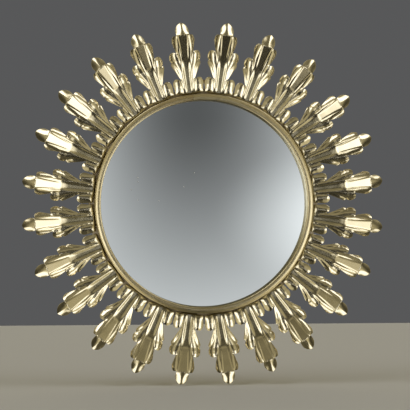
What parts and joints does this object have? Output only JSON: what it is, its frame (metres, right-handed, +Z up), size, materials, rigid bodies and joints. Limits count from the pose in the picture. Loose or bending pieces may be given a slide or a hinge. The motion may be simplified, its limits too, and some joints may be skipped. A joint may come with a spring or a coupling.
{
  "type": "wall mirror",
  "caption": "Round sunburst wall mirror: flat glass in a two-bead brass bezel, ringed by separate stamped acanthus leaves of gilt brass.",
  "frame": {"origin": "centre of the back board's flat face, where the mirror touches the wall", "axes": "+Z up, +X to the viewer's right, the mirror faces -Y and the wall is on the +Y side at y = 0"},
  "size_m": [0.5952, 0.0297, 0.5948],
  "materials": {
    "leaf_brass": "stamped sheet brass with a pale gilt lacquer, satin to bright, darker in the hollows",
    "ring_brass": "drawn brass moulding, bright, ochre tone with fine lengthwise wear",
    "mirror_glass": "silvered glass with a few specks of foxing",
    "plate_steel": "brass-washed sheet steel, dull",
    "board_fibre": "dark brown hardboard, matt",
    "eye_brass": "dull brass plate"
  },
  "bodies": {
    "root": {"back_board": "board_fibre", "backing_plate": "plate_steel", "mirror_glass": "mirror_glass", "bezel_ring": "ring_brass", "hanger": "eye_brass", "leaf_01": "leaf_brass", "leaf_02": "leaf_brass", "leaf_03": "leaf_brass", "leaf_04": "leaf_brass", "leaf_05": "leaf_brass", "leaf_06": "leaf_brass", "leaf_07": "leaf_brass", "leaf_08": "leaf_brass", "leaf_09": "leaf_brass", "leaf_10": "leaf_brass", "leaf_11": "leaf_brass", "leaf_12": "leaf_brass", "leaf_13": "leaf_brass", "leaf_14": "leaf_brass", "leaf_15": "leaf_brass", "leaf_16": "leaf_brass", "leaf_17": "leaf_brass", "leaf_18": "leaf_brass", "leaf_19": "leaf_brass", "leaf_20": "leaf_brass", "leaf_21": "leaf_brass", "leaf_22": "leaf_brass", "leaf_23": "leaf_brass", "leaf_24": "leaf_brass"}
  },
  "joints": []
}
